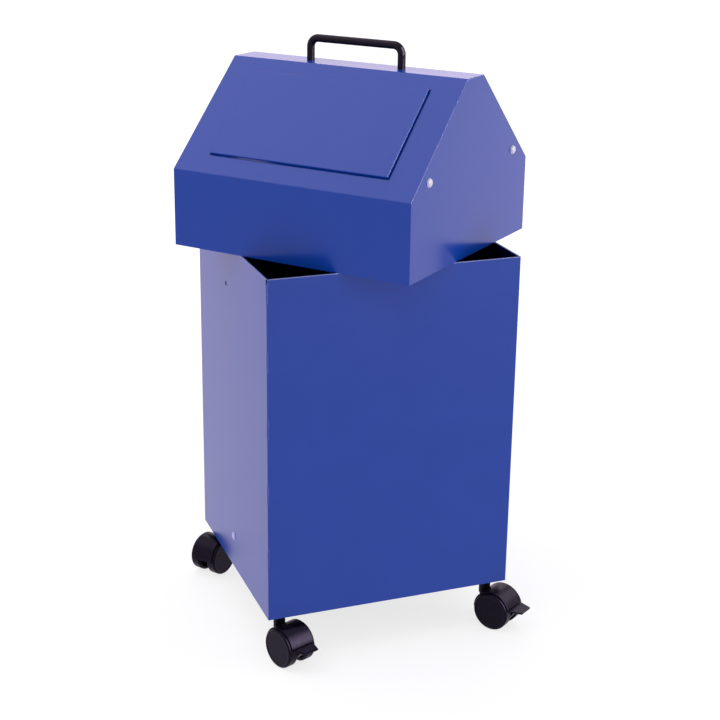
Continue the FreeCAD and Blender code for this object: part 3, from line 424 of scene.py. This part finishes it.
def black_handle_coat():
    """Glossy black coat of the bent rod, rubbed a little where hands hold it."""
    coat = Finish("black_handle_coat", IOR=1.25, Specular_Tint=HANDLE_SHEEN)
    grain = coat.effect(GRAIN, Grain_Scale=520.0, Wave_Scale=40.0, Wave_Share=0.8)
    rubs = coat.effect(RUBS, Hair_Scale=90.0, Stretch=(6.0, 6.0, 1.0), Amount=0.3)
    tone = coat.blend(grain.outputs["Cloud"], *HANDLE)
    coat.feed("Base Color", coat.blend(rubs.outputs["Mask"], tone, BLACK_SCUFFED))
    coat.roughen(grain, low=0.08, high=0.12, marks=rubs, share=RUB_DULLING)
    coat.relief(grain, depth=0.000015)
    return coat.material


def light_head_lacquer():
    """Near-white lacquer of the rod heads; the rivets low on the box are bluer."""
    head = Finish("light_head_lacquer", Specular_IOR_Level=0.3)
    grain = head.effect(GRAIN, Grain_Scale=900.0, Wave_Scale=120.0, Wave_Share=0.5)
    low = head.effect(WITHIN, Rim=LOW_HEADS)
    tone = head.blend(grain.outputs["Cloud"], *LACQUER)
    # heads low on the box are bluer
    head.feed("Base Color", head.blend(low.outputs["Mask"], tone, LACQUER_LOW))
    head.roughen(grain, low=0.30, high=0.42)
    head.relief(grain, depth=0.00002)
    return head.material


def zinc_plated_steel():
    """Bright zinc plating: cloudy bloom, fine drawing lines, dull where rubbed."""
    zinc = Finish("zinc_plated_steel", Metallic=1.0)
    grain = zinc.effect(GRAIN, Grain_Scale=1100.0, Wave_Scale=90.0, Wave_Share=0.5)
    rubs = zinc.effect(RUBS, Hair_Scale=200.0, Stretch=(1.0, 1.0, 14.0), Amount=0.8)
    tone = zinc.blend(grain.outputs["Cloud"], *ZINC)
    zinc.feed("Base Color", zinc.blend(rubs.outputs["Mask"], tone, ZINC_RUBBED))
    zinc.roughen(grain, low=0.26, high=0.40, marks=rubs, share=RUB_DULLING)
    zinc.relief(grain, depth=0.00002)
    return zinc.material


def white_nylon():
    """Turned nylon bushes, slightly translucent and faintly yellow."""
    nylon = Finish("white_nylon", Subsurface_Weight=0.2, Subsurface_Radius=(0.004, 0.003, 0.002))
    grain = nylon.effect(GRAIN, Grain_Scale=800.0, Wave_Scale=100.0, Wave_Share=0.5)
    nylon.feed("Base Color", nylon.blend(grain.outputs["Cloud"], *NYLON))
    nylon.roughen(grain, low=0.42, high=0.55)
    nylon.relief(grain, depth=0.00002)
    return nylon.material


MATERIALS = {
    "blue_paint": blue_powder_coat(),
    "black_plastic": black_moulded_plastic(),
    "black_handle": black_handle_coat(),
    "light_head": light_head_lacquer(),
    "zinc_steel": zinc_plated_steel(),
    "nylon": white_nylon(),
}


# Pieces
def show(name, mesh, body, slot, stands_for=(), winding=None):
    """Makes a mesh a piece that moves with a body, or one baked in place when a winding is given, and takes
    a slot's finish.
    """
    piece = bpy.data.objects.new(name, mesh)
    bpy.context.scene.collection.objects.link(piece)
    mesh.materials.clear()
    mesh.materials.append(MATERIALS[slot])
    if winding:
        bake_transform(piece)
    else:
        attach(piece, body)
    if stands_for:
        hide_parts(*stands_for)


def eased_copy(node, width):
    """A merged copy of a CAD node's mesh with its sharp edges rounded over by a small width."""
    source = frame["nodes"][node].data
    mesh = bpy.data.meshes.new(node + "_look")
    mesh.from_pydata([v.co for v in source.vertices], [], [p.vertices for p in source.polygons])
    shape = bmesh.new()
    shape.from_mesh(mesh)
    bmesh.ops.remove_doubles(shape, verts=shape.verts, dist=MERGE_DISTANCE)
    flat = math.radians(FLAT_ANGLE)
    bmesh.ops.dissolve_limit(shape, angle_limit=flat, verts=shape.verts, edges=shape.edges)
    if width:
        smooth = math.radians(SMOOTH_ANGLE)
        sharp = [e for e in shape.edges if e.is_manifold and e.calc_face_angle() > smooth]
        bmesh.ops.bevel(shape, geom=sharp, offset=width, segments=2, profile=0.5, affect="EDGES",
                        clamp_overlap=True)
    bmesh.ops.triangulate(shape, faces=[f for f in shape.faces if len(f.verts) > 4])
    shape.to_mesh(mesh)
    shape.free()
    return smoothed(mesh)


def smoothed(mesh):
    """Smooth shading that leaves large flat faces flat beside their folds."""
    mesh.shade_smooth()
    mesh.set_sharp_from_angle(angle=math.radians(SMOOTH_ANGLE))
    draft = bpy.data.objects.new("draft", mesh)
    bpy.context.scene.collection.objects.link(draft)
    weighted = draft.modifiers.new("weighted", "WEIGHTED_NORMAL")
    weighted.weight = 100
    weighted.keep_sharp = True
    return settled(draft)


def settled(draft):
    """Turns an object with modifiers into a plain mesh and drops the object."""
    ready = draft.evaluated_get(bpy.context.evaluated_depsgraph_get())
    mesh = bpy.data.meshes.new_from_object(ready)
    bpy.data.objects.remove(draft)
    return mesh


def spring_winding(end, mesh):
    """How a flap's spring winds up: its long leg goes with the flap, its short leg with the hood."""
    joint = JOINTS[f"{end}_flap_swing"]
    pivot = Vector(joint["pos_m"])
    axis = Vector(joint["axis"]).normalized()
    along = [(v.co - pivot).dot(axis) for v in mesh.vertices]
    off = [(v.co - pivot - axis * place).length for v, place in zip(mesh.vertices, along)]
    coil = [place for place, distance in zip(along, off) if distance < COIL_RADIUS]
    ends = (min(coil) + COIL_END, max(coil) - COIL_END)
    long_leg = along[off.index(max(off))]
    on_flap, on_hood = sorted(ends, key=lambda place: abs(place - long_leg))
    return f"{end}_flap", pivot + axis * on_hood, pivot + axis * on_flap


def dress_nodes():
    """Every CAD node gets an eased, smooth-shaded copy with its own finish."""
    springs = {f"flap_spring_{end}": end for end in ("front", "rear")}
    for node in sorted(BODY_OF):
        width = next(value for start, value in EASED if node.startswith(start))
        mesh = eased_copy(node, width)
        winding = spring_winding(springs[node], mesh) if node in springs else None
        show(node + "_look", mesh, BODY_OF[node], SLOT_OF[node], [node], winding)


# Repeats, made with geometry nodes
def row_tree(name, unit):
    """A tree that sets a row of units on every point of a mesh; unit(tree) gives the unit's mesh."""
    tree = bpy.data.node_groups.new(name, "GeometryNodeTree")
    inputs = {
        "Points": "NodeSocketGeometry",
        "Count": "NodeSocketInt",
        "Step": "NodeSocketVector",
        "Size": "NodeSocketVector",
        "Turn": "NodeSocketVector",
        "Narrowing": "NodeSocketFloat",
        "Finish": "NodeSocketMaterial",
    }
    for label, kind in inputs.items():
        tree.interface.new_socket(label, in_out="INPUT", socket_type=kind)
    tree.interface.new_socket("Mesh", in_out="OUTPUT", socket_type="NodeSocketGeometry")
    entry = tree.nodes.new("NodeGroupInput")
    leave = tree.nodes.new("NodeGroupOutput")
    line = tree.nodes.new("GeometryNodeMeshLine")
    line.mode = "OFFSET"
    tree.links.new(entry.outputs["Count"], line.inputs["Count"])
    tree.links.new(entry.outputs["Step"], line.inputs["Offset"])
    # each unit of a row may be narrower than the one before
    place = tree.nodes.new("GeometryNodeInputIndex").outputs["Index"]
    lost = product(tree, place, entry.outputs["Narrowing"])
    share = tree.nodes.new("ShaderNodeCombineXYZ")
    share.inputs["X"].default_value = 1.0
    share.inputs["Y"].default_value = 1.0
    tree.links.new(math_node(tree, "SUBTRACT", 1.0, lost), share.inputs["Z"])
    size = tree.nodes.new("ShaderNodeVectorMath")
    size.operation = "MULTIPLY"
    tree.links.new(entry.outputs["Size"], size.inputs[0])
    tree.links.new(share.outputs["Vector"], size.inputs[1])
    row = tree.nodes.new("GeometryNodeInstanceOnPoints")
    tree.links.new(line.outputs["Mesh"], row.inputs["Points"])
    tree.links.new(unit(tree), row.inputs["Instance"])
    tree.links.new(entry.outputs["Turn"], row.inputs["Rotation"])
    tree.links.new(size.outputs["Vector"], row.inputs["Scale"])
    rows = tree.nodes.new("GeometryNodeInstanceOnPoints")
    tree.links.new(entry.outputs["Points"], rows.inputs["Points"])
    tree.links.new(row.outputs["Instances"], rows.inputs["Instance"])
    real = tree.nodes.new("GeometryNodeRealizeInstances")
    tree.links.new(rows.outputs["Instances"], real.inputs["Geometry"])
    dressed = tree.nodes.new("GeometryNodeSetMaterial")
    tree.links.new(real.outputs["Geometry"], dressed.inputs["Geometry"])
    tree.links.new(entry.outputs["Finish"], dressed.inputs["Material"])
    tree.links.new(dressed.outputs["Geometry"], leave.inputs["Mesh"])
    return tree


def bar_unit(tree):
    """Round bar along Z, of radius 1 and length 1."""
    bar = tree.nodes.new("GeometryNodeMeshCylinder")
    bar.inputs["Vertices"].default_value = 16
    bar.inputs["Radius"].default_value = 1.0
    bar.inputs["Depth"].default_value = 1.0
    return bar.outputs["Mesh"]


def bead_unit(tree):
    """Ball of radius 1."""
    ball = tree.nodes.new("GeometryNodeMeshUVSphere")
    ball.inputs["Segments"].default_value = 14
    ball.inputs["Rings"].default_value = 9
    ball.inputs["Radius"].default_value = 1.0
    return ball.outputs["Mesh"]


def thread_unit(tree):
    """A few turns of a thread's crest round a shank, in real size."""
    helix = tree.nodes.new("GeometryNodeCurveSpiral")
    helix.inputs["Resolution"].default_value = 40
    helix.inputs["Rotations"].default_value = THREAD_TURNS
    helix.inputs["Start Radius"].default_value = SHANK_RADIUS
    helix.inputs["End Radius"].default_value = SHANK_RADIUS
    helix.inputs["Height"].default_value = THREAD_TURNS * THREAD_PITCH
    crest = tree.nodes.new("GeometryNodeCurvePrimitiveCircle")
    crest.inputs["Resolution"].default_value = 8
    crest.inputs["Radius"].default_value = THREAD_PITCH * CREST_SHARE
    sweep = tree.nodes.new("GeometryNodeCurveToMesh")
    sweep.inputs["Fill Caps"].default_value = True
    tree.links.new(helix.outputs["Curve"], sweep.inputs["Curve"])
    tree.links.new(crest.outputs["Curve"], sweep.inputs["Profile Curve"])
    return sweep.outputs["Mesh"]


def rows_mesh(tree, points, slot, **values):
    """The mesh of a tree's rows on some points, with named inputs."""
    base = bpy.data.meshes.new("points")
    base.from_pydata(points, [], [])
    draft = bpy.data.objects.new("draft", base)
    bpy.context.scene.collection.objects.link(draft)
    maker = draft.modifiers.new("rows", "NODES")
    maker.node_group = tree
    items = tree.interface.items_tree
    sockets = {item.name: item.identifier for item in items if item.in_out == "INPUT"}
    maker[sockets["Finish"]] = MATERIALS[slot]
    for label, value in values.items():
        maker[sockets[label]] = value
    mesh = settled(draft)
    mesh.shade_smooth()
    mesh.set_sharp_from_angle(angle=math.radians(SMOOTH_ANGLE))
    return mesh


def pedal_ribs():
    """Grip ribs across each brake pedal, narrower towards its tip."""
    tree = row_tree("grip_ribs", bar_unit)
    first, last = PEDAL_RIBS
    wide, narrow = PEDAL_WIDTHS
    gaps = RIB_COUNT - 1
    for corner in ("front_left", "front_right"):
        stem = Vector(JOINTS[f"castor_{corner}_swivel"]["pos_m"])
        axle = Vector(JOINTS[f"wheel_{corner}_left_spin"]["pos_m"])
        back = Vector((axle.x - stem.x, axle.y - stem.y, 0.0)).normalized()
        spot = Vector((axle.x, axle.y, PEDAL_TOP)) + back * first
        mesh = rows_mesh(
            tree, [spot], "black_plastic", Count=RIB_COUNT, Step=back * (last - first) / gaps,
            Size=(RIB_RADIUS, RIB_RADIUS, wide), Turn=(0.0, math.pi / 2, math.atan2(back.x, -back.y)),
            Narrowing=(1 - narrow / wide) / gaps)
        show(f"grip_ribs_{corner}", mesh, f"brake_{corner}", "black_plastic")


def stem_threads():
    """Thread showing above the nut on each castor's shank."""
    tree = row_tree("stem_threads", thread_unit)
    stems = [Vector(joint["pos_m"]) for name, joint in JOINTS.items() if name.endswith("_swivel")]
    foot = SHANK_TOP - (THREAD_TURNS + 0.5) * THREAD_PITCH
    feet = [(stem.x, stem.y, foot) for stem in stems]
    mesh = rows_mesh(tree, feet, "zinc_steel", Count=1, Size=(1.0, 1.0, 1.0))
    show("stem_threads", mesh, "bin", "zinc_steel")


def corner_welds():
    """Stitch welds inside the two corners where the wall panels meet, under the coat."""
    tree = row_tree("corner_welds", bead_unit)
    across, along = BOX_INSIDE
    heights = [STITCH_FROM + STITCH_STEP * i for i in range(STITCH_COUNT)]
    starts = [(side * across, side * along, height) for side in (-1, 1) for height in heights]
    step = (0.0, 0.0, BEAD_STEP)
    mesh = rows_mesh(tree, starts, "blue_paint", Count=BEAD_COUNT, Step=step, Size=BEAD_SIZE)
    show("corner_welds", mesh, "bin", "blue_paint")


# Studio
def camera():
    """The photograph's view."""
    azimuth = math.radians(CAMERA_AZIMUTH)
    elevation = math.radians(CAMERA_ELEVATION)
    roll = math.radians(CAMERA_ROLL)
    back = Vector((math.sin(azimuth) * math.cos(elevation), -math.cos(azimuth) * math.cos(elevation),
                   math.sin(elevation)))
    level = Vector((math.cos(azimuth), math.sin(azimuth), 0.0))
    right = level * math.cos(roll) + back.cross(level) * math.sin(roll)
    up = back.cross(right)
    lens = bpy.data.cameras.new("camera")
    lens.lens = CAMERA_LENS
    lens.sensor_width = CAMERA_SENSOR
    lens.shift_y = CAMERA_SHIFT
    lens.dof.use_dof = False
    eye = bpy.data.objects.new("camera", lens)
    turned = Matrix((right, up, back)).transposed().to_4x4()
    eye.matrix_world = Matrix.Translation(CAMERA_PLACE) @ turned
    bpy.context.scene.collection.objects.link(eye)
    bpy.context.scene.camera = eye


def background_rays(tree):
    """1 for rays that look at the background: straight, mirrored or through glass."""
    path = tree.nodes.new("ShaderNodeLightPath")
    seen = math_node(tree, "MAXIMUM", path.outputs["Is Camera Ray"], path.outputs["Is Glossy Ray"])
    return math_node(tree, "MAXIMUM", seen, path.outputs["Is Transmission Ray"])


def world():
    """White all round to look at, a softer white to light with; the seen white is past full white."""
    sky = bpy.data.worlds.new("studio")
    sky.use_nodes = True
    tree = sky.node_tree
    light = tree.nodes["Background"]
    light.inputs["Color"].default_value = (1.0, 1.0, 1.0, 1.0)
    light.inputs["Strength"].default_value = WORLD_LIGHT
    white = tree.nodes.new("ShaderNodeBackground")
    white.inputs["Color"].default_value = WHITE_TINT
    white.inputs["Strength"].default_value = WHITE_LEVEL
    mix = tree.nodes.new("ShaderNodeMixShader")
    tree.links.new(background_rays(tree), mix.inputs["Fac"])
    tree.links.new(light.outputs["Background"], mix.inputs[1])
    tree.links.new(white.outputs["Background"], mix.inputs[2])
    tree.links.new(mix.outputs["Shader"], tree.nodes["World Output"].inputs["Surface"])
    bpy.context.scene.world = sky


def floor():
    """White floor that keeps the object's shadow and runs out into the white surroundings."""
    bpy.ops.mesh.primitive_plane_add(size=FLOOR_SIZE)
    plane = bpy.context.object
    plane.name = "studio_floor"
    paint = bpy.data.materials.new("studio_floor")
    paint.use_nodes = True
    tree = paint.node_tree
    tree.nodes.remove(tree.nodes["Principled BSDF"])
    spot = tree.nodes.new("ShaderNodeTexCoord").outputs["Object"]
    away = tree.nodes.new("ShaderNodeVectorMath")
    away.operation = "LENGTH"
    tree.links.new(spot, away.inputs[0])
    near, far = FLOOR_FADE
    matt = tree.nodes.new("ShaderNodeBsdfDiffuse")
    tree.links.new(spread(tree, away.outputs["Value"], near, far, FLOOR_TONE, 0.0), matt.inputs["Color"])
    # mirrored and lighting rays see a tinted floor that is brighter to the right
    side = parted(tree, spot)["X"]
    (left, dim), (right, bright) = FLOOR_LEAN
    lean = tree.nodes.new("ShaderNodeVectorMath")
    lean.operation = "SCALE"
    lean.inputs[0].default_value = WHITE_TINT[:3]
    tree.links.new(spread(tree, side, left, right, dim, bright), lean.inputs["Scale"])
    path = tree.nodes.new("ShaderNodeLightPath")
    tint = blended(tree, path.outputs["Is Camera Ray"], lean.outputs["Vector"], (1.0, 1.0, 1.0))
    glow = tree.nodes.new("ShaderNodeEmission")
    tree.links.new(tint, glow.inputs["Color"])
    strength = spread(tree, away.outputs["Value"], near, far, FLOOR_GLOW, WHITE_LEVEL)
    tree.links.new(strength, glow.inputs["Strength"])
    both = tree.nodes.new("ShaderNodeAddShader")
    tree.links.new(matt.outputs["BSDF"], both.inputs[0])
    tree.links.new(glow.outputs["Emission"], both.inputs[1])
    tree.links.new(both.outputs["Shader"], tree.nodes["Material Output"].inputs["Surface"])
    plane.data.materials.append(paint)


def lamps():
    """Area lamps that face their aims; some show in reflections alone."""
    for name, place, aim, width, height, watts, matt in LAMPS:
        light = bpy.data.lights.new(name, "AREA")
        light.shape = "RECTANGLE"
        light.size = width
        light.size_y = height
        light.energy = watts
        light.color = WHITE_TINT[:3]
        lamp = bpy.data.objects.new(name, light)
        lamp.location = place
        lamp.rotation_euler = (Vector(aim) - Vector(place)).to_track_quat("-Z", "Y").to_euler()
        lamp.visible_diffuse = matt
        bpy.context.scene.collection.objects.link(lamp)


dress_nodes()
pedal_ribs()
stem_threads()
corner_welds()
camera()
world()
floor()
lamps()
bpy.context.scene.view_settings.view_transform = "Standard"
